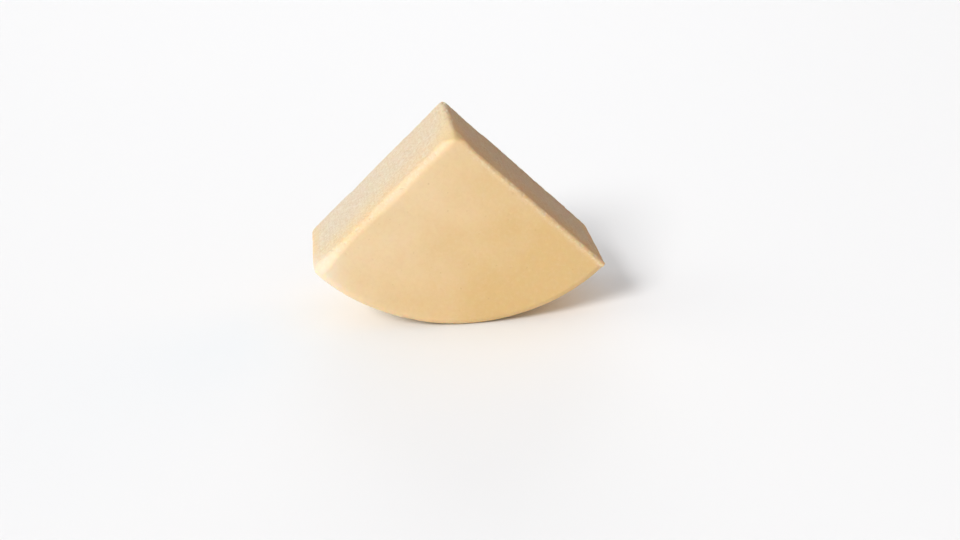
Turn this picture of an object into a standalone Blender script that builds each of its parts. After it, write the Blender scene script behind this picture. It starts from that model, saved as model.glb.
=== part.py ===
"""A quarter of a slab of hard sheep's-milk cheese, standing on its rind with the tip of the wedge up.

The wheel's axis lies along Y, and its natural flat face, with a round heel, looks to -Y. The slab was cut
off the wheel behind that face, and two straight cuts meet at the tip. Z is up, and it stands on z = 0.
"""

import math

import bpy
from mathutils import Vector, noise

MM = 0.001

# The wheel, and the slab that was cut off its end.
WHEEL_RADIUS = 151.0 * MM
SLAB_HEIGHT = 80.0 * MM
HEEL_RADIUS = 5.0 * MM
HEEL_STEPS = 6
SIDE_BULGE = 0.8 * MM
SIDE_STEPS = 8
TURN_STEPS = 180

# The two cuts, as angles from straight down. The tip lies left of the wheel's centre, so the left cut is
# the shorter one.
TIP_ASIDE = -8.3 * MM
TIP_ABOVE = 1.2 * MM
LEFT_CUT_ANGLE = math.radians(46.4)
RIGHT_CUT_ANGLE = math.radians(45.6)

# The spot that the piece's own weight has pressed flat.
FLAT_DEPTH = 0.8 * MM

# How far the edges are worn round, and the grid that the surface is laid on to wear them.
EDGE_RADIUS = 5.0 * MM
GRID = 2.0 * MM

# Relief: how deep it is, and how far apart its bumps are. The waves of the cuts lie closer along the
# wheel's axis, which is the way the blade went.
RIND_DENTS = (0.5 * MM, 48 * MM)
FLAT_FACE_DENTS = (0.35 * MM, 40 * MM)
CUT_WAVES = (0.3 * MM, 26 * MM)
CUT_WAVE_SQUEEZE = 2.2

# Chips out of the edges: depth and distance apart, how far they reach in from an edge, and how rare they
# are, from 0 to 1. They are less rare by the corner where the right cut meets the rind and the flat face.
CHIPS = (2.2 * MM, 12 * MM)
CHIP_REACH = 6.0 * MM
CHIP_RARITY = 0.22
CORNER_CHIP_RARITY = 0.10
CORNER_REACH = 50.0 * MM

# The front end of the tip, rubbed down to a small sloping facet.
TIP_WEAR = 5.0 * MM
TIP_WEAR_REACH = 15.0 * MM

TRIANGLES = 8000

FRONT = -SLAB_HEIGHT / 2
BACK = SLAB_HEIGHT / 2
CENTRE = Vector((0, 0, WHEEL_RADIUS - FLAT_DEPTH))
TIP = CENTRE + Vector((TIP_ASIDE, 0, TIP_ABOVE))
LEFT_OUT = Vector((-math.cos(LEFT_CUT_ANGLE), 0, math.sin(LEFT_CUT_ANGLE)))
RIGHT_OUT = Vector((math.cos(RIGHT_CUT_ANGLE), 0, math.sin(RIGHT_CUT_ANGLE)))


def clear_scene():
    for obj in list(bpy.data.objects):
        bpy.data.objects.remove(obj, do_unlink=True)


def new_collection(name):
    collection = bpy.data.collections.new(name)
    bpy.context.scene.collection.children.link(collection)
    return collection


def cheese_material():
    material = bpy.data.materials.new("hard_cheese")
    material.use_nodes = True
    shader = material.node_tree.nodes["Principled BSDF"]
    shader.inputs["Base Color"].default_value = (0.86, 0.64, 0.40, 1)
    shader.inputs["Roughness"].default_value = 0.55
    shader.inputs["Metallic"].default_value = 0
    return material


def wheel_profile():
    """Half the slab's section as (radius, height) points, from its natural face's middle to its cut one's."""
    top = SLAB_HEIGHT / 2
    heel_end = top - HEEL_RADIUS
    side_radius = WHEEL_RADIUS - SIDE_BULGE
    points = [(0, top)]
    for step in range(HEEL_STEPS):
        turn = math.pi / 2 * step / HEEL_STEPS
        radius = side_radius - HEEL_RADIUS * (1 - math.sin(turn))
        points.append((radius, heel_end + HEEL_RADIUS * math.cos(turn)))
    for step in range(SIDE_STEPS + 1):
        share = step / SIDE_STEPS
        radius = side_radius + SIDE_BULGE * math.sin(math.pi * share)
        points.append((radius, heel_end - share * (heel_end + SLAB_HEIGHT / 2)))
    points.append((0, -SLAB_HEIGHT / 2))
    return points


def turned_slab():
    """The whole slab: the profile turned about the wheel's axis, which is then laid along Y.

    It is also turned so that its own X and Y lie along the two cuts, and the grid laid on it later runs
    straight along their edges.
    """
    points = [(radius, 0, height) for radius, height in wheel_profile()]
    mesh = bpy.data.meshes.new("cheese_wedge")
    mesh.from_pydata(points, [(i, i + 1) for i in range(len(points) - 1)], [])
    slab = bpy.data.objects.new("cheese_wedge", mesh)
    slab.location = CENTRE
    slab.rotation_euler = (math.pi / 2, (LEFT_CUT_ANGLE + RIGHT_CUT_ANGLE) / 2, 0)
    turn = slab.modifiers.new("turn", "SCREW")
    turn.steps = turn.render_steps = TURN_STEPS
    turn.use_merge_vertices = True
    turn.merge_threshold = 0.0001
    turn.use_normal_calculate = True
    return slab


def make_cutter(name, outward, cutters):
    """A block with one face along a cut. outward is that cut's own outward direction."""
    side = 3 * WHEEL_RADIUS
    bpy.ops.mesh.primitive_cube_add(size=side, location=TIP + outward * side / 2)
    block = bpy.context.object
    block.name = name
    block.rotation_euler = (0, math.atan2(outward.x, outward.z), 0)
    block.display_type = "WIRE"
    block.hide_render = True
    bpy.context.collection.objects.unlink(block)
    cutters.objects.link(block)
    return block


def cut_away(obj, block):
    modifier = obj.modifiers.new(block.name, "BOOLEAN")
    modifier.operation = "DIFFERENCE"
    modifier.object = block


def wear_edges(obj):
    """Lays an even grid over the piece and smooths it, which rounds every edge to EDGE_RADIUS.

    That radius is 1.37 times the spread of the smoothing, and each pass at half strength adds the square of
    half a grid step to the square of the spread.
    """
    grid = obj.modifiers.new("grid", "REMESH")
    grid.mode = "VOXEL"
    grid.voxel_size = GRID
    spread = EDGE_RADIUS / 1.37
    smooth = obj.modifiers.new("worn_edges", "SMOOTH")
    smooth.factor = 0.5
    smooth.iterations = round((spread / (GRID / 2)) ** 2)


def thin_out(obj):
    """Leaves fewer triangles where the surface is even."""
    modifier = obj.modifiers.new("thin_out", "DECIMATE")
    modifier.ratio = TRIANGLES / (2 * len(obj.data.polygons))


def apply_modifiers(obj):
    """Makes the piece as it now looks its own mesh, placed in the world."""
    bpy.context.view_layer.update()
    graph = bpy.context.evaluated_depsgraph_get()
    mesh = bpy.data.meshes.new_from_object(obj.evaluated_get(graph))
    mesh.transform(obj.matrix_world)
    obj.modifiers.clear()
    obj.data = mesh
    obj.location = (0, 0, 0)
    obj.rotation_euler = (0, 0, 0)


def depths_under_faces(point):
    """How far a point lies under each of the plain wedge's five faces."""
    return {
        "left": (TIP - point).dot(LEFT_OUT),
        "right": (TIP - point).dot(RIGHT_OUT),
        "front": point.y - FRONT,
        "back": BACK - point.y,
        "rind": WHEEL_RADIUS - math.hypot(point.x - CENTRE.x, point.z - CENTRE.z),
    }


def fade(distance, reach):
    """1 up to no distance, and 0 from reach on."""
    share = min(max(distance / reach, 0), 1)
    return 1 - share * share * (3 - 2 * share)


def bumps(point, apart):
    """Smooth noise from -1 to 1 whose bumps lie this far apart."""
    return noise.noise(point / apart)


def chip_depth(point, under):
    depth, apart = CHIPS
    nearest, second = sorted(under.values())[:2]
    at_edge = fade(nearest, CHIP_REACH) * fade(second, CHIP_REACH)
    at_corner = fade(under["right"] + under["rind"] + under["front"], CORNER_REACH)
    rarity = CHIP_RARITY + at_corner * (CORNER_CHIP_RARITY - CHIP_RARITY)
    return depth * at_edge * (1 - fade(bumps(point, apart) - rarity, 1 - rarity))


def relief_depth(point):
    """How deep the surface lies under the plain, worn shape at this point."""
    under = depths_under_faces(point)
    face = min(under, key=under.get)
    if face == "rind":
        depth, apart = RIND_DENTS
    elif face == "front":
        depth, apart = FLAT_FACE_DENTS
    else:
        depth, apart = CUT_WAVES
        point = Vector((point.x, point.y * CUT_WAVE_SQUEEZE, point.z))
    return depth * bumps(point, apart) + chip_depth(point, under)


def tip_wear(point):
    """How far the front end of the tip has been rubbed down at this point."""
    return TIP_WEAR * fade(point.y - FRONT, TIP_WEAR_REACH) * fade(TIP.z - point.z, 2 * TIP_WEAR)


def add_relief(obj):
    vertices = obj.data.vertices
    normals = [vertex.normal.copy() for vertex in vertices]
    for vertex, normal in zip(vertices, normals):
        vertex.co -= normal * relief_depth(vertex.co)
        vertex.co.z -= tip_wear(vertex.co)


def stand_on_floor(obj):
    """Presses the spot that it stands on flat, and puts the origin under the middle of the piece."""
    xs = [vertex.co.x for vertex in obj.data.vertices]
    ys = [vertex.co.y for vertex in obj.data.vertices]
    middle = Vector(((min(xs) + max(xs)) / 2, (min(ys) + max(ys)) / 2, 0))
    for vertex in obj.data.vertices:
        vertex.co -= middle
        vertex.co.z = max(vertex.co.z, 0)


def make_wedge():
    piece = new_collection("pecorino_romano")
    cutters = new_collection("cutters")
    wedge = turned_slab()
    piece.objects.link(wedge)
    blocks = [make_cutter("left_cut", LEFT_OUT, cutters), make_cutter("right_cut", RIGHT_OUT, cutters)]
    for block in blocks:
        cut_away(wedge, block)
    wear_edges(wedge)
    apply_modifiers(wedge)
    for block in blocks:
        bpy.data.objects.remove(block, do_unlink=True)
    add_relief(wedge)
    thin_out(wedge)
    apply_modifiers(wedge)
    stand_on_floor(wedge)
    wedge.data.shade_smooth()
    wedge.data.materials.clear()
    wedge.data.materials.append(cheese_material())


clear_scene()
make_wedge()
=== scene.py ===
"""A quarter of a slab of hard sheep's-milk cheese, standing on its rind, as it looks up close.

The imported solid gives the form. A finer copy of it gets the surface: a smooth waxy rind on the flat face
and round the rim, and cut paste with its crumb, fissures, small eyes and chipped edges.
Metres, Z up. The wheel's axis lies along Y, and the wheel's own flat face looks to -Y.
"""

import math

import bmesh
import bpy
from mathutils import Matrix, Quaternion, Vector


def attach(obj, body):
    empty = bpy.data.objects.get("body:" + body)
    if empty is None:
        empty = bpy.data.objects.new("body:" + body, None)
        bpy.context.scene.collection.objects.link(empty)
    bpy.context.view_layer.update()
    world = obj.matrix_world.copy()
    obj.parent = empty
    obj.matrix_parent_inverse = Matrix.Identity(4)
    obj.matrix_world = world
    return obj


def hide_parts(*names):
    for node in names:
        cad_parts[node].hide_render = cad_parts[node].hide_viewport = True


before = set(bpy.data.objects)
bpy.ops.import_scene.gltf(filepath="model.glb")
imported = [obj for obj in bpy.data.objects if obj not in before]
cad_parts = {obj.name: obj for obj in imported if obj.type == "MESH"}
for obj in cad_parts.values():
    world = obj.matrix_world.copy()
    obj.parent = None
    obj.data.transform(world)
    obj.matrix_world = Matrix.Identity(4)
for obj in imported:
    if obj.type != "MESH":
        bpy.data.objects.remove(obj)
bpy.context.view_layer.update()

MM = 0.001

# Where the solid's planes and its wheel lie. The rest of the form is read from the frame.
WHEEL_RADIUS = 151 * MM
WHEEL_CENTRE = Vector((4.55, 0, 150.2)) * MM
TIP = WHEEL_CENTRE + Vector((-8.3, 0, 1.2)) * MM
FRONT = -40 * MM
BACK = 40 * MM
LEFT_CUT_ANGLE = math.radians(46.4)
RIGHT_CUT_ANGLE = math.radians(45.6)
LEFT_OUT = Vector((-math.cos(LEFT_CUT_ANGLE), 0, math.sin(LEFT_CUT_ANGLE)))
RIGHT_OUT = Vector((math.cos(RIGHT_CUT_ANGLE), 0, math.sin(RIGHT_CUT_ANGLE)))

# The fine copy: the grid that it is laid on, how far its facets are smoothed, and what is kept of it.
GRID = 0.65 * MM
SMOOTHING = 1.2 * MM
TRIANGLES = 190_000

# What the relief's node tree takes. A share, from 0 to 1, says how many of the places have a hollow.
RELIEF = {
    "Seed": 3.0,
    "Crumb size": 2.1 * MM,
    "Crumb depth": 0.11 * MM,
    "Flake size": 4.2 * MM,
    "Flake depth": 0.16 * MM,
    "Flaked patch": 30 * MM,
    "Drag spacing": 4 * MM,
    "Drag depth": 0.05 * MM,
    "Right cut roughness": 2.0,
    "Dense roughness": 0.35,
    "Dense depth": 2 * MM,
    "Loose depth": 10 * MM,
    "Fissure spacing": 17 * MM,
    "Fissure radius": 5 * MM,
    "Fissure share": 0.22,
    "Eye spacing": 7.5 * MM,
    "Eye radius": 1.1 * MM,
    "Eye share": 0.6,
    "Chip spacing": 6 * MM,
    "Chip radius": 2.6 * MM,
    "Chip share": 0.8,
    "Chip reach": 4 * MM,
    "Worn radius": 7.5 * MM,
    "Worn radius swing": 1.5 * MM,
    "Extra wear at foot": 2.5 * MM,
    "Bare reach": 10 * MM,
    "Rubbed and painted light reach": 42 * MM,
    "Crisp radius": 3 * MM,
    "Tip fill": 2.5 * MM,
    "Wrinkle size": 10 * MM,
    "Wrinkle depth": 0.13 * MM,
    "Pock spacing": 9 * MM,
    "Pock radius": 1.0 * MM,
    "Pock share": 0.5,
}

# How much of a round hollow's depth is pressed in.
FISSURE_FLATNESS = 0.18
POCK_FLATNESS = 0.3
CHIP_FLATNESS = 0.45

# The blade went along Y, so the lines that it dragged are drawn out that way.
ALONG_BLADE = (1, 0.06, 1)

# Fissures are flat, and lie in layers that are tilted like this.
LAYER_AXIS = (0.86, -0.5, 0)
LAYER_TILT = math.radians(36)
LAYER_FLATNESS = 8

# The way that the tip is filled out.
UP_AND_RIGHT = (0.4, 0, 1)

# Pairs of distances between which something sets in or fades out.
RIND_SETS_IN = (2 * MM, 6.5 * MM)
RIGHT_CUT_SETS_IN = (0, 3 * MM)
CRISP_EDGE_FADES = (2.4 * MM, 5 * MM)
CRISP_EDGE_SETS_IN = (8 * MM, 22 * MM)
TIP_FILL_FADES_DOWN = (2 * MM, 14 * MM)
TIP_FILL_FADES_BACK = (0, 16 * MM)
TIP_TONE_FADES = (6 * MM, 30 * MM)

# Pairs of depths between which a chip, wear, or a hole's painted shade comes to show in the colour.
CHIP_SHOWS = (0.2 * MM, 0.9 * MM)
HOLE_SHADE_SHOWS = (0, 0.9 * MM)
WEAR_SHOWS = (0, 1.2 * MM)

# The cheese's finish: what is too fine for the mesh, how matte it is, and how far light goes in. Curd
# grains are really 0.5 to 1 mm across, and are drawn at 1.3 mm, so that they show.
CURD_GRAIN = 1.3 * MM
PASTE_BUMP = 0.20 * MM
RIND_BUMP = 0.09 * MM
PASTE_ROUGHNESS = 0.62
RIND_ROUGHNESS = 0.46
LIGHT_REACH = 3 * MM

# The photograph's camera, in its own frame of 960 by 540.
CAMERA_PLACE = Vector((-100.8, -947.8, 458.5)) * MM
CAMERA_AIM = Vector((12.95, -42.1, 46.07)) * MM
CAMERA_ROLL = -0.0143
CAMERA_LENS = 51.6

# Node kinds and settings that come up often.
MATH = "ShaderNodeMath"
VECTOR = "ShaderNodeVectorMath"
SPLIT = "ShaderNodeSeparateXYZ"
NOISE = "ShaderNodeTexNoise"
CELLS = "ShaderNodeTexVoronoi"
RANGE = "ShaderNodeMapRange"
MIX = "ShaderNodeMix"
SMOOTH = "SMOOTHSTEP"


def add(tree, kind, inputs=(), **settings):
    """Adds a node with its settings, and fills its inputs, in order or by name, with values or nodes."""
    node = tree.nodes.new(kind)
    for name, value in settings.items():
        setattr(node, name, value)
    sockets = [socket for socket in node.inputs if socket.enabled]
    if isinstance(inputs, dict):
        pairs = [(next(s for s in sockets if s.name == name), value) for name, value in inputs.items()]
    else:
        pairs = zip(sockets, inputs)
    for socket, value in pairs:
        if isinstance(value, bpy.types.Node):
            value = next(output for output in value.outputs if output.enabled)
        if isinstance(value, bpy.types.NodeSocket):
            tree.links.new(value, socket)
        elif value is not None:
            socket.default_value = value
    return node


def linear(hex_colour):
    """An sRGB hex colour as linear red, green, blue and alpha."""
    parts = [int(hex_colour[i:i + 2], 16) / 255 for i in (1, 3, 5)]
    return (*[p / 12.92 if p <= 0.04045 else ((p + 0.055) / 1.055) ** 2.4 for p in parts], 1)


# ------------------------------------------------------------------------------------------ the relief

def geometry_tree(name, sizes):
    """A new geometry tree with one named input for each size. Returns it with its input node."""
    tree = bpy.data.node_groups.new(name, "GeometryNodeTree")
    tree.interface.new_socket("Mesh", in_out="INPUT", socket_type="NodeSocketGeometry")
    tree.interface.new_socket("Mesh", in_out="OUTPUT", socket_type="NodeSocketGeometry")
    for size in sizes:
        tree.interface.new_socket(size, in_out="INPUT", socket_type="NodeSocketFloat")
    return tree, tree.nodes.new("NodeGroupInput")


def finish_tree(tree, mesh, material):
    """Ends a geometry tree: copies made real, and the material on all of it."""
    real = add(tree, "GeometryNodeRealizeInstances", [mesh])
    dressed = add(tree, "GeometryNodeSetMaterial", {"Geometry": real, "Material": material})
    add(tree, "NodeGroupOutput", [dressed])


def put_tree(obj, tree, sizes):
    """Puts a geometry tree on a piece, with its sizes set by the sockets' identifiers."""
    modifier = obj.modifiers.new(tree.name, "NODES")
    modifier.node_group = tree
    for item in tree.interface.items_tree:
        if item.in_out == "INPUT" and item.name in sizes:
            modifier[item.identifier] = sizes[item.name]


def made_plain(obj):
    """Turns a piece, as its modifiers leave it, into a plain mesh."""
    graph = bpy.context.evaluated_depsgraph_get()
    mesh = bpy.data.meshes.new_from_object(obj.evaluated_get(graph))
    obj.modifiers.clear()
    obj.data = mesh
    return obj


def depths(tree, point):
    """How deep a point lies under the left cut, the right cut, the back cut, the face and the rim."""
    from_tip = add(tree, VECTOR, [TIP, point], operation="SUBTRACT")
    left = add(tree, VECTOR, [from_tip, LEFT_OUT], operation="DOT_PRODUCT")
    right = add(tree, VECTOR, [from_tip, RIGHT_OUT], operation="DOT_PRODUCT")
    along = add(tree, SPLIT, [point]).outputs["Y"]
    back = add(tree, MATH, [BACK, along], operation="SUBTRACT")
    face = add(tree, MATH, [along, FRONT], operation="SUBTRACT")
    from_centre = add(tree, VECTOR, [point, WHEEL_CENTRE], operation="SUBTRACT")
    across = add(tree, VECTOR, [from_centre, (1, 0, 1)], operation="MULTIPLY")
    reach = add(tree, VECTOR, [across], operation="LENGTH")
    rim = add(tree, MATH, [WHEEL_RADIUS, reach], operation="SUBTRACT")
    return left, right, back, face, rim


def two_smallest(tree, values):
    """The smallest and the second smallest of some values."""
    least = values[0]
    second = 1.0
    for value in values[1:]:
        larger = add(tree, MATH, [least, value], operation="MAXIMUM")
        second = add(tree, MATH, [second, larger], operation="MINIMUM")
        least = add(tree, MATH, [least, value], operation="MINIMUM")
    return least, second


def swell(tree, point, size, detail):
    """Noise from about -1 to 1 with bumps of this size."""
    density = add(tree, MATH, [1, size], operation="DIVIDE")
    noise = add(tree, NOISE, {"Vector": point, "Scale": density, "Detail": detail, "Roughness": 0.6})
    return add(tree, RANGE, [noise, 0.2, 0.8, -1, 1])


def stirred(tree, point, size, reach):
    """The point moved at random, by up to half this reach, so that cells on it get ragged edges."""
    density = add(tree, MATH, [1, size], operation="DIVIDE")
    stir = add(tree, NOISE, {"Vector": point, "Scale": density, "Detail": 2})
    stir = add(tree, VECTOR, [stir.outputs["Color"], (0.5, 0.5, 0.5)], operation="SUBTRACT")
    stir = add(tree, VECTOR, {"Vector": stir, "Scale": reach}, operation="SCALE")
    return add(tree, VECTOR, [point, stir], operation="ADD")


def hollows(tree, point, spacing, radius, share, ragged):
    """Depth of scattered round hollows, the largest of this radius.

    share says how many of the places have one, and ragged how uneven their edges are.
    """
    swing = add(tree, MATH, [radius, ragged], operation="MULTIPLY")
    density = add(tree, MATH, [1, spacing], operation="DIVIDE")
    cell = add(tree, CELLS, {"Vector": stirred(tree, point, radius, swing), "Scale": density})
    distance = add(tree, MATH, [cell.outputs["Distance"], spacing], operation="MULTIPLY")
    chance = add(tree, SPLIT, [cell.outputs["Color"]])
    size = add(tree, MATH, [chance.outputs["Y"], 2], operation="POWER")
    size = add(tree, RANGE, [size, 0, 1, 0.35, 1])
    present = add(tree, MATH, [chance.outputs["X"], share], operation="LESS_THAN")
    size = add(tree, MATH, [size, present], operation="MULTIPLY")
    own_radius = add(tree, MATH, [size, radius], operation="MULTIPLY")
    own_square = add(tree, MATH, [own_radius, own_radius], operation="MULTIPLY")
    square = add(tree, MATH, [distance, distance], operation="MULTIPLY")
    under = add(tree, MATH, [own_square, square], operation="SUBTRACT")
    under = add(tree, MATH, [under, 0], operation="MAXIMUM")
    return add(tree, MATH, [under], operation="SQRT")


def facets(tree, point, size):
    """Height of small facets, each tilted its own way, from about -1 to 1: how a close paste parts."""
    place = stirred(tree, point, size, size)
    density = add(tree, MATH, [1, size], operation="DIVIDE")
    cell = add(tree, CELLS, {"Vector": place, "Scale": density})
    within = add(tree, VECTOR, [place, cell.outputs["Position"]], operation="SUBTRACT")
    tilt = add(tree, VECTOR, [cell.outputs["Color"], (0.5, 0.5, 0.5)], operation="SUBTRACT")
    slope = add(tree, VECTOR, [within, tilt], operation="DOT_PRODUCT")
    slope = add(tree, MATH, [slope, density], operation="MULTIPLY")
    return add(tree, MATH, [slope, 3], operation="MULTIPLY")


def cut_relief(tree, size, point, roughness):
    """Depths on cut paste: crumb, patches of flakes, lines dragged by the blade, fissures and eyes.

    Returns the depth, the height of the crumb and flakes alone, and the depth of the holes alone.
    """
    crumb = facets(tree, point, size["Crumb size"])
    elsewhere = add(tree, VECTOR, [point, (0.3, 0.5, 0.7)], operation="ADD")
    flaked = swell(tree, elsewhere, size["Flaked patch"], 3)
    flaked = add(tree, RANGE, [flaked, -0.5, 0.6, 0, 1], interpolation_type=SMOOTH)
    flakes = add(tree, MATH, [facets(tree, point, size["Flake size"]), flaked], operation="MULTIPLY")
    depth = add(tree, MATH, [flakes, size["Flake depth"]], operation="MULTIPLY")
    depth = add(tree, MATH, [crumb, size["Crumb depth"], depth], operation="MULTIPLY_ADD")
    depth = add(tree, MATH, [depth, roughness], operation="MULTIPLY")

    along_blade = add(tree, VECTOR, [point, ALONG_BLADE], operation="MULTIPLY")
    drag = swell(tree, along_blade, size["Drag spacing"], 2)
    depth = add(tree, MATH, [drag, size["Drag depth"], depth], operation="MULTIPLY_ADD")

    level = add(tree, "ShaderNodeVectorRotate", [point, (0, 0, 0), LAYER_AXIS, LAYER_TILT])
    layered = add(tree, VECTOR, [level, (1, 1, LAYER_FLATNESS)], operation="MULTIPLY")
    fissures = hollows(tree, layered, size["Fissure spacing"], size["Fissure radius"],
                       size["Fissure share"], ragged=0.9)
    fissures = add(tree, MATH, [fissures, FISSURE_FLATNESS], operation="MULTIPLY")
    eyes = hollows(tree, point, size["Eye spacing"], size["Eye radius"], size["Eye share"], ragged=1.2)
    holes = add(tree, MATH, [fissures, eyes], operation="MAXIMUM")
    grain_sink = add(tree, MATH, [crumb, flakes], operation="ADD")
    return add(tree, MATH, [depth, holes], operation="ADD"), grain_sink, holes


def rind_relief(tree, size, point):
    """Depths on the rind: low wrinkles where it dried, and shallow pocks."""
    wrinkles = swell(tree, point, size["Wrinkle size"], 4)
    pocks = hollows(tree, point, size["Pock spacing"], size["Pock radius"],
                    size["Pock share"], ragged=0.8)
    pocks = add(tree, MATH, [pocks, POCK_FLATNESS], operation="MULTIPLY")
    return add(tree, MATH, [wrinkles, size["Wrinkle depth"], pocks], operation="MULTIPLY_ADD")


def round_edge(tree, radius, cut_outwards, cut, face):
    """The move that rounds the edge between a cut and the flat face to this radius.

    Returns its direction, outwards, and its length along that.
    """
    to_cut = add(tree, MATH, [radius, cut], operation="SUBTRACT")
    to_cut = add(tree, MATH, [to_cut, 0], operation="MAXIMUM")
    to_face = add(tree, MATH, [radius, face], operation="SUBTRACT")
    to_face = add(tree, MATH, [to_face, 0], operation="MAXIMUM")
    cut_part = add(tree, VECTOR, {"Vector": cut_outwards, "Scale": to_cut}, operation="SCALE")
    face_part = add(tree, VECTOR, {"Vector": (0, -1, 0), "Scale": to_face}, operation="SCALE")
    outwards = add(tree, VECTOR, [cut_part, face_part], operation="ADD")
    reach = add(tree, VECTOR, [outwards], operation="LENGTH")
    outwards = add(tree, VECTOR, [outwards], operation="NORMALIZE")
    return outwards, add(tree, MATH, [radius, reach], operation="SUBTRACT")


def worn_left_edge(tree, radius, left, face):
    """The move that wears the left front edge down to this radius."""
    outwards, move = round_edge(tree, radius, LEFT_OUT, left, face)
    move = add(tree, MATH, [move, 0], operation="MINIMUM")
    return add(tree, VECTOR, {"Vector": outwards, "Scale": move}, operation="SCALE")


def crisp_right_edge(tree, radius, left, right, face):
    """The move that fills the right front edge out to this radius, but for its end by the tip."""
    outwards, move = round_edge(tree, radius, RIGHT_OUT, right, face)
    move = add(tree, MATH, [move, 0], operation="MAXIMUM")
    from_edge = add(tree, MATH, [right, face], operation="MAXIMUM")
    close = add(tree, RANGE, [from_edge, *CRISP_EDGE_FADES, 1, 0], interpolation_type=SMOOTH)
    move = add(tree, MATH, [move, close], operation="MULTIPLY")
    past_tip = add(tree, RANGE, [left, *CRISP_EDGE_SETS_IN, 0, 1], interpolation_type=SMOOTH)
    move = add(tree, MATH, [move, past_tip], operation="MULTIPLY")
    return add(tree, VECTOR, {"Vector": outwards, "Scale": move}, operation="SCALE")


def fuller_tip(tree, point, height, face):
    """The move that fills out the front end of the tip, which the solid has rubbed down further."""
    below = add(tree, MATH, [TIP.z, add(tree, SPLIT, [point]).outputs["Z"]], operation="SUBTRACT")
    move = add(tree, RANGE, [below, *TIP_FILL_FADES_DOWN, height, 0], interpolation_type=SMOOTH)
    front = add(tree, RANGE, [face, *TIP_FILL_FADES_BACK, 1, 0], interpolation_type=SMOOTH)
    move = add(tree, MATH, [move, front], operation="MULTIPLY")
    return add(tree, VECTOR, {"Vector": UP_AND_RIGHT, "Scale": move}, operation="SCALE")


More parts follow.
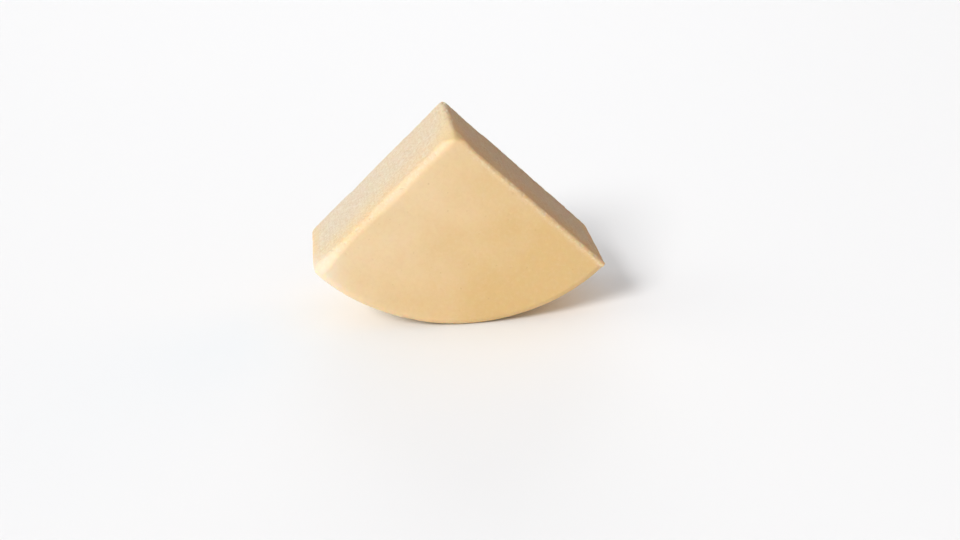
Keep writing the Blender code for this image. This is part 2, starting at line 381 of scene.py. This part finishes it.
def relief_tree(material):
    """Presses the relief into the smooth form, and keeps the attributes that its material reads."""
    tree, given = geometry_tree("cheese_relief", RELIEF)
    size = given.outputs
    place = add(tree, "GeometryNodeInputPosition")
    shift = add(tree, VECTOR, {"Vector": (1, 1, 1), "Scale": size["Seed"]}, operation="SCALE")
    point = add(tree, VECTOR, [place, shift], operation="ADD")

    left, right, back, face, rim = depths(tree, place)
    under_rind = add(tree, MATH, [face, rim], operation="MINIMUM")
    cut, _ = two_smallest(tree, [left, right, back])
    _, second = two_smallest(tree, [left, right, back, under_rind])

    # Rind starts a little way in from the cuts, where the edges are rubbed bare.
    waver = add(tree, MATH, [swell(tree, point, 3 * MM, 2), 0.5 * MM], operation="MULTIPLY")
    outside = add(tree, MATH, [cut, under_rind], operation="SUBTRACT")
    outside = add(tree, MATH, [outside, waver], operation="ADD")
    rind = add(tree, RANGE, [outside, *RIND_SETS_IN, 0, 1], interpolation_type=SMOOTH)

    # The right cut is rougher, and the paste is denser and smoother close under the rind.
    not_right = add(tree, MATH, [left, back], operation="MINIMUM")
    on_right = add(tree, MATH, [not_right, right], operation="SUBTRACT")
    rough = add(tree, RANGE, [on_right, *RIGHT_CUT_SETS_IN, 1, size["Right cut roughness"]])
    loose = add(tree, RANGE, [under_rind, size["Dense depth"], size["Loose depth"],
                              size["Dense roughness"], 1], interpolation_type=SMOOTH)
    rough = add(tree, MATH, [rough, loose], operation="MULTIPLY")
    paste_depth, grain_sink, holes = cut_relief(tree, size, point, rough)
    grain_sink = add(tree, MATH, [grain_sink, loose], operation="MULTIPLY")
    depth = add(tree, MIX, [rind, paste_depth, rind_relief(tree, size, point)])

    # Chips lie along the edges, where a point is close under two surfaces at once.
    at_edge = add(tree, MATH, [second, size["Chip reach"]], operation="DIVIDE")
    at_edge = add(tree, RANGE, [at_edge, 0.4, 1, 1, 0], interpolation_type=SMOOTH)
    chips = hollows(tree, point, size["Chip spacing"], size["Chip radius"],
                    size["Chip share"], ragged=1.2)
    chips = add(tree, MATH, [chips, at_edge], operation="MULTIPLY")
    depth = add(tree, MATH, [chips, CHIP_FLATNESS, depth], operation="MULTIPLY_ADD")
    inward = add(tree, MATH, [depth, -1], operation="MULTIPLY")
    normal = add(tree, "GeometryNodeInputNormal")
    offset = add(tree, VECTOR, {"Vector": normal, "Scale": inward}, operation="SCALE")

    # The left front edge is worn round, most of all at its foot, where it is paler: partly rubbed bare,
    # and partly painted light that lifts the shaded lower left corner.
    to_foot = add(tree, MATH, [left, face], operation="ADD")
    to_foot = add(tree, MATH, [to_foot, rim], operation="ADD")
    rubbed_and_painted_light = add(tree, RANGE, [to_foot, size["Bare reach"], size["Rubbed and painted light reach"], 1, 0],
                 interpolation_type=SMOOTH)
    swing = swell(tree, point, 45 * MM, 2)
    worn_radius = add(tree, MATH, [swing, size["Worn radius swing"], size["Worn radius"]],
                      operation="MULTIPLY_ADD")
    worn_radius = add(tree, MATH, [rubbed_and_painted_light, size["Extra wear at foot"], worn_radius],
                      operation="MULTIPLY_ADD")
    worn = worn_left_edge(tree, worn_radius, left, face)
    for move in (worn, crisp_right_edge(tree, size["Crisp radius"], left, right, face),
                 fuller_tip(tree, place, size["Tip fill"], face)):
        offset = add(tree, VECTOR, [offset, move], operation="ADD")

    # The thin front end of the tip has dried more than the rest.
    from_tip = add(tree, MATH, [left, right], operation="ADD")
    from_tip = add(tree, MATH, [face, 0.3, from_tip], operation="MULTIPLY_ADD")
    tip = add(tree, RANGE, [from_tip, *TIP_TONE_FADES, 1, 0], interpolation_type=SMOOTH)

    # A chip takes the rind off, and shows fresh paste, as the worn edge does in part.
    chipped = add(tree, RANGE, [chips, *CHIP_SHOWS, 0, 1])
    unchipped = add(tree, MATH, [1, chipped], operation="SUBTRACT")
    rind = add(tree, MATH, [rind, unchipped], operation="MULTIPLY")
    worn = add(tree, VECTOR, [worn], operation="LENGTH")
    worn = add(tree, RANGE, [worn, *WEAR_SHOWS, 0, 0.7])
    fresh = add(tree, MATH, [chipped, worn], operation="MAXIMUM")
    # Holes get painted shade: the deeper, the darker.
    painted_hole_shade = add(tree, RANGE, [holes, *HOLE_SHADE_SHOWS, 0, 1])

    # The paste is yellower a long way in from the flat face, and a shorter way in from the rim.
    deeper_by_rim = add(tree, MATH, [rim, 2.5], operation="MULTIPLY")
    under_face = add(tree, MATH, [face, deeper_by_rim], operation="MINIMUM")
    kept = {"rind": rind, "under_rind": under_rind, "under_face": under_face, "fresh": fresh,
            "rubbed_and_painted_light": rubbed_and_painted_light, "tip": tip, "grain_sink": grain_sink, "painted_hole_shade": painted_hole_shade}
    mesh = size["Mesh"]
    for name, value in kept.items():
        mesh = add(tree, "GeometryNodeStoreNamedAttribute",
                   {"Geometry": mesh, "Name": name, "Value": value}, domain="POINT")
    moved = add(tree, "GeometryNodeSetPosition", {"Geometry": mesh, "Offset": offset})
    finish_tree(tree, moved, material)
    return tree


def fine_copy(name, node):
    """A merged copy of a solid, laid on a fine even grid that runs along its two cuts, and smoothed."""
    mesh = node.data.copy()
    mesh.materials.clear()
    work = bmesh.new()
    work.from_mesh(mesh)
    bmesh.ops.remove_doubles(work, verts=work.verts, dist=0.001 * MM)
    work.to_mesh(mesh)
    work.free()
    along_cuts = Matrix.Rotation((LEFT_CUT_ANGLE + RIGHT_CUT_ANGLE) / 2, 4, "Y")
    mesh.transform(along_cuts.inverted())
    copy = bpy.data.objects.new(name, mesh)
    bpy.context.collection.objects.link(copy)
    grid = copy.modifiers.new("grid", "REMESH")
    grid.mode = "VOXEL"
    grid.voxel_size = GRID
    smooth = copy.modifiers.new("smooth", "SMOOTH")
    smooth.factor = 0.5
    smooth.iterations = round((SMOOTHING / (GRID / 2)) ** 2)
    made_plain(copy)
    copy.data.transform(along_cuts)
    return copy


def make_piece(node, material):
    piece = fine_copy("cheese_piece", node)
    put_tree(piece, relief_tree(material), RELIEF)
    thin = piece.modifiers.new("thin_out", "DECIMATE")
    thin.ratio = min(1, TRIANGLES / (2 * len(piece.data.polygons)))
    made_plain(piece)
    for vertex in piece.data.vertices:
        vertex.co.z = max(vertex.co.z, 0)
    piece.data.shade_smooth()
    return piece


# --------------------------------------------------------------------------------------- the materials

def paste_colour(tree, point, grain):
    """Whitest inside, and straw-coloured towards the rind and the thin tip, where it dries out first.

    Each grain is a little lighter or darker than the next at random, sunken grains and holes are darker
    with painted shade and raised grains lighter with a painted highlight, and chips are fresh and pale.
    """
    under_rind, under_face, fresh, tip, grain_sink, painted_hole_shade = [
        add(tree, "ShaderNodeAttribute", attribute_name=name).outputs["Fac"]
        for name in ("under_rind", "under_face", "fresh", "tip", "grain_sink", "painted_hole_shade")]
    mottle = add(tree, NOISE, {"Vector": point, "Scale": 1 / (5 * MM), "Detail": 3})
    tone = add(tree, SPLIT, [grain.outputs["Color"]]).outputs["X"]
    height = add(tree, SPLIT, [point]).outputs["Z"]
    tones = [
        (add(tree, RANGE, [under_face, 2 * MM, 43 * MM, 1, 0], interpolation_type=SMOOTH), "#fad59e"),
        (add(tree, RANGE, [height, 75 * MM, 145 * MM, 0, 0.6]), "#edcea6"),
        (add(tree, RANGE, [under_rind, 1.4 * MM, 3.4 * MM, 0.6, 0], interpolation_type=SMOOTH), "#e6c48e"),
        (add(tree, RANGE, [mottle, 0.3, 0.7, 0, 0.3]), "#f3e4c8"),
        (add(tree, RANGE, [tone, 0.5, 0, 0, 0.28]), "#dcc294"),
        (add(tree, RANGE, [tone, 0.5, 1, 0, 0.28]), "#fbf2df"),
        # Painted shade on sunken grains and a painted highlight on raised ones.
        (add(tree, RANGE, [grain_sink, 0.0, 1.2, 0, 0.35]), "#d9bd92"),
        (add(tree, RANGE, [grain_sink, 0.0, -1.2, 0, 0.35]), "#faf0da"),
        (add(tree, MATH, [tip, 0.8], operation="MULTIPLY"), "#f8d8a2"),
        (add(tree, MATH, [fresh, 0.5], operation="MULTIPLY"), "#f9e9d0"),
        # Painted shade in the holes.
        (add(tree, MATH, [painted_hole_shade, 0.55], operation="MULTIPLY"), "#d6b583"),
    ]
    paste = linear("#ead6bb")
    for share, colour in tones:
        paste = add(tree, MIX, [share, paste, linear(colour)], data_type="RGBA")
    return paste


def rind_colour(tree, point):
    """Straw, with painted warm bounce light that makes it yellower towards the right and the foot, faint
    cloudiness and small brown freckles.
    """
    # Painted warm bounce light: a share that grows towards the right and the foot, its edge stirred by
    # noise.
    toward_painted_bounce = add(tree, VECTOR, [point, (0.855, 0, -0.52)], operation="DOT_PRODUCT")
    stray = add(tree, NOISE, {"Vector": point, "Scale": 1 / (35 * MM), "Detail": 4, "Roughness": 0.55})
    stray = add(tree, RANGE, [stray, 0.3, 0.7, -25 * MM, 25 * MM])
    toward_painted_bounce = add(tree, MATH, [toward_painted_bounce, stray], operation="ADD")
    fine = add(tree, NOISE, {"Vector": point, "Scale": 1 / (3 * MM), "Detail": 4, "Roughness": 0.7})
    ragged = add(tree, VECTOR, {"Vector": fine.outputs["Color"], "Scale": 2 * MM}, operation="SCALE")
    ragged = add(tree, VECTOR, [point, ragged], operation="ADD")
    freckle = add(tree, CELLS, {"Vector": ragged, "Scale": 1 / (7 * MM)})
    chance = add(tree, SPLIT, [freckle.outputs["Color"]]).outputs["X"]
    chance = add(tree, RANGE, [chance, 0.3, 1, 0, 0.45])
    freckle = add(tree, RANGE, [freckle.outputs["Distance"], 0.03, 0.13, 1, 0])
    tones = [
        # The painted warm bounce light.
        (add(tree, RANGE, [toward_painted_bounce, -100 * MM, 15 * MM, 0, 1]), "#e6c489"),
        (add(tree, RANGE, [fine, 0.5, 0.75, 0, 0.16]), "#dcb981"),
        (add(tree, RANGE, [fine, 0.5, 0.25, 0, 0.16]), "#f7e2bd"),
        (add(tree, MATH, [freckle, chance], operation="MULTIPLY"), "#c9a46c"),
    ]
    skin = linear("#f4d9ae")
    for share, colour in tones:
        skin = add(tree, MIX, [share, skin, linear(colour)], data_type="RGBA")
    return skin


def cheese_material():
    """Hard sheep's-milk cheese, salted and aged: matte, a little waxy, and light goes a few mm in."""
    material = bpy.data.materials.new("aged_sheep_cheese")
    material.use_nodes = True
    tree = material.node_tree
    point = add(tree, "ShaderNodeTexCoord").outputs["Object"]
    rind = add(tree, "ShaderNodeAttribute", attribute_name="rind").outputs["Fac"]

    stir = add(tree, NOISE, {"Vector": point, "Scale": 1 / (1 * MM), "Detail": 1})
    stir = add(tree, VECTOR, {"Vector": stir.outputs["Color"], "Scale": 0.9 * MM}, operation="SCALE")
    stir = add(tree, VECTOR, [point, stir], operation="ADD")
    grain = add(tree, CELLS, {"Vector": stir, "Scale": 1 / CURD_GRAIN})
    paste = paste_colour(tree, point, grain)
    colour = add(tree, MIX, [rind, paste, rind_colour(tree, point)], data_type="RGBA")
    # The foot of the left edge is paler: partly wear, and partly painted light on the shaded lower left
    # corner.
    rubbed_and_painted_light = add(tree, "ShaderNodeAttribute", attribute_name="rubbed_and_painted_light").outputs["Fac"]
    rubbed_and_painted_light = add(tree, MATH, [rubbed_and_painted_light, 0.6], operation="MULTIPLY")
    colour = add(tree, MIX, [rubbed_and_painted_light, colour, linear("#f8ebd5")], data_type="RGBA")
    roughness = add(tree, RANGE, [rind, 0, 1, PASTE_ROUGHNESS, RIND_ROUGHNESS])

    crumb = add(tree, NOISE, {"Vector": point, "Scale": 1 / (0.7 * MM), "Detail": 3, "Roughness": 0.65})
    crumb = add(tree, MATH, [crumb, grain.outputs["Distance"]], operation="SUBTRACT")
    pores = add(tree, NOISE, {"Vector": point, "Scale": 1 / (1.8 * MM), "Detail": 4, "Roughness": 0.6})
    height = add(tree, MIX, [rind, crumb, pores])
    depth = add(tree, RANGE, [rind, 0, 1, PASTE_BUMP, RIND_BUMP])
    bump = add(tree, "ShaderNodeBump", {"Strength": 0.6, "Distance": depth, "Height": height})

    shader = tree.nodes["Principled BSDF"]
    for name, value in {"Base Color": colour, "Roughness": roughness, "Normal": bump}.items():
        tree.links.new(next(o for o in value.outputs if o.enabled), shader.inputs[name])
    shader.inputs["IOR"].default_value = 1.45
    shader.inputs["Subsurface Weight"].default_value = 0.7
    shader.inputs["Subsurface Radius"].default_value = (1, 0.5, 0.22)
    shader.inputs["Subsurface Scale"].default_value = LIGHT_REACH
    return material


def floor_material():
    """White matte acrylic sheet: an even pale ground with soft shadows."""
    material = bpy.data.materials.new("white_acrylic_sheet")
    material.use_nodes = True
    shader = material.node_tree.nodes["Principled BSDF"]
    shader.inputs["Base Color"].default_value = linear("#e6e6e6")
    shader.inputs["Roughness"].default_value = 0.7
    shader.inputs["Specular IOR Level"].default_value = 0.2
    return material


# ----------------------------------------------------------------------------------------- the picture

def make_floor():
    bpy.ops.mesh.primitive_plane_add(size=60)
    floor = bpy.context.object
    floor.name = "floor"
    floor.data.materials.append(floor_material())
    return floor


def soft_light(name, azimuth, elevation, strength, spread, hex_colour):
    """A far soft light from azimuth degrees to the right of -Y and this elevation.

    At strength 1 it makes a white surface that faces it white. spread is how wide it looks, in degrees.
    """
    turn, rise = math.radians(azimuth), math.radians(elevation)
    away = Vector((math.sin(turn) * math.cos(rise), -math.cos(turn) * math.cos(rise), math.sin(rise)))
    data = bpy.data.lights.new(name, "SUN")
    data.energy = strength * math.pi
    data.angle = math.radians(spread)
    data.color = linear(hex_colour)[:3]
    light = bpy.data.objects.new(name, data)
    light.location = away
    light.rotation_euler = (-away).to_track_quat("-Z", "Y").to_euler()
    bpy.context.collection.objects.link(light)
    return light


def make_lights(floor):
    """Four soft lights, and a broad one overhead for the floor alone, which the cheese shades."""
    soft_light("key_light", -45, 35, 0.835, 20, "#ffffff")
    soft_light("side_light", -95, 38, 0.12, 30, "#fffaf2")
    soft_light("rear_light", 178, 10, 0.30, 40, "#ffffff")
    soft_light("warm_light", 112, 18, 0.17, 40, "#ffb448")
    overhead = soft_light("floor_light", 0, 90, 0.545, 150, "#f2f8ff")
    lit = bpy.data.collections.new("lit_from_overhead")
    lit.objects.link(floor)
    overhead.light_linking.receiver_collection = lit


def make_surroundings():
    """A faint even light from all round, and a pale backdrop that is seen but lights nothing."""
    world = bpy.data.worlds.new("studio")
    world.use_nodes = True
    tree = world.node_tree
    faint = add(tree, "ShaderNodeBackground", [linear("#ffffff"), 0.05])
    backdrop = add(tree, "ShaderNodeBackground", [linear("#ffffff"), 0.93])
    seen = add(tree, "ShaderNodeLightPath").outputs["Is Camera Ray"]
    both = add(tree, "ShaderNodeMixShader", [seen, faint, backdrop])
    tree.links.new(both.outputs["Shader"], tree.nodes["World Output"].inputs["Surface"])
    bpy.context.scene.world = world


def make_camera():
    data = bpy.data.cameras.new("camera")
    data.sensor_width = 36
    data.lens = CAMERA_LENS
    camera = bpy.data.objects.new("camera", data)
    camera.location = CAMERA_PLACE
    look = (CAMERA_AIM - CAMERA_PLACE).to_track_quat("-Z", "Y")
    camera.rotation_euler = (look @ Quaternion((0, 0, 1), CAMERA_ROLL)).to_euler()
    bpy.context.collection.objects.link(camera)
    bpy.context.scene.camera = camera


bpy.context.scene.view_settings.view_transform = "Standard"
make_camera()
make_lights(make_floor())
make_surroundings()

piece = make_piece(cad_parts["cheese_wedge"], cheese_material())
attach(piece, "root")
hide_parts("cheese_wedge")
